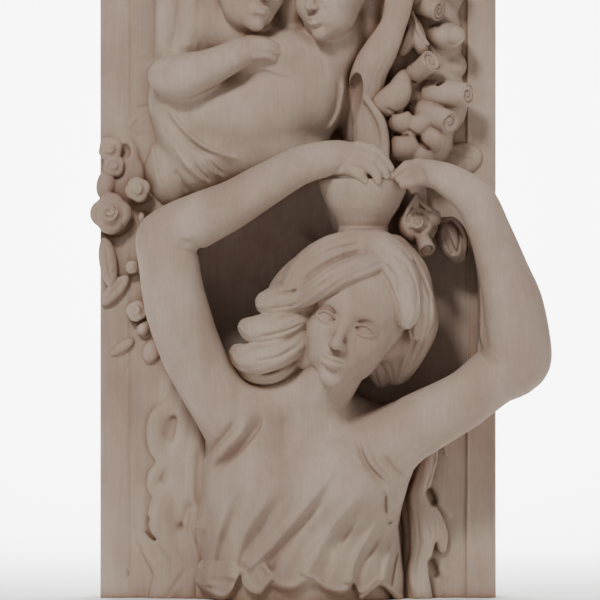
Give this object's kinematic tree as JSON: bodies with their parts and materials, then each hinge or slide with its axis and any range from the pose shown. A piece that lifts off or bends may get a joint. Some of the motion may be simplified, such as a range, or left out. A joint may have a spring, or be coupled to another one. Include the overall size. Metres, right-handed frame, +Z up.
{
  "type": "pilaster",
  "caption": "Carved wooden pilaster in high relief: a draped woman holds a bowl on her head, with putti, flowers and tresses on a flat board.",
  "frame": {"origin": "on the base cut, on the board's centre line, in the plane of the border's face", "axes": "+Z up the pilaster, +X to the viewer's right, -Y out from the board towards the viewer, +Y towards the wall"},
  "size_m": [0.2301, 0.1028, 0.338],
  "materials": {
    "wood": "matte, unfinished"
  },
  "bodies": {
    "root": {"pilaster": "wood"}
  },
  "joints": []
}
